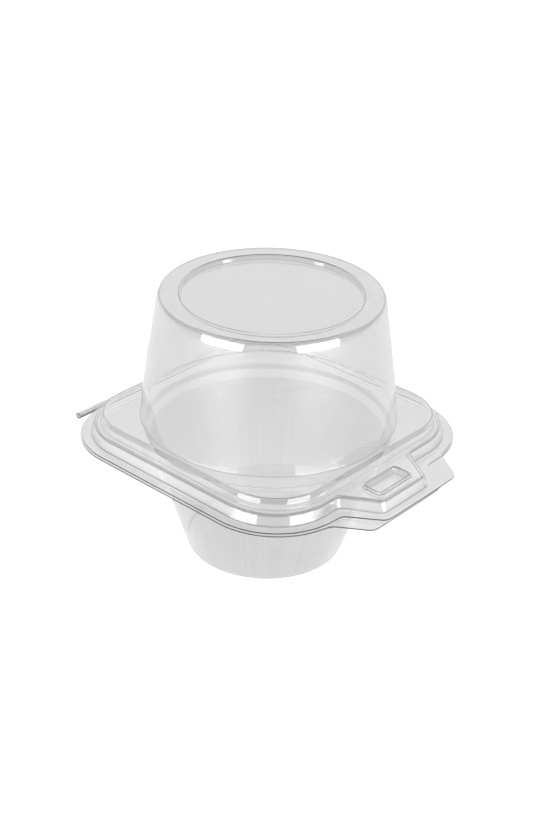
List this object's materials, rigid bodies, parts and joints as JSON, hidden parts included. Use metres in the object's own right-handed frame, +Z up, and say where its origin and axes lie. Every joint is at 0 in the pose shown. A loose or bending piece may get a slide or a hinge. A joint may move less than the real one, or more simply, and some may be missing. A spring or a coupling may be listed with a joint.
{
  "type": "cupcake box",
  "caption": "Clear hinged clamshell box for a single cupcake: tapered cup base, square flange with a snap tab, and a tall round lid.",
  "frame": {"origin": "centre of the cup's floor, on the surface that the box stands on", "axes": "+Z up along the cup and dome, -Y towards the clasp, +Y towards the fold, +X to the right seen from the clasp"},
  "size_m": [0.1032, 0.1165, 0.0928],
  "materials": {
    "clear_plastic": "clear, glossy, thin thermoformed sheet"
  },
  "bodies": {
    "base": {"base": "clear_plastic", "fold": "clear_plastic"},
    "lid": {"lid": "clear_plastic"}
  },
  "joints": [
    {"name": "lid_hinge", "type": "hinge", "parent": "base", "child": "lid", "pos_m": [0, 0.05265, 0.04155], "axis": [-1, 0, 0], "range_deg": [0, 150], "deforming": ["fold"]}
  ]
}
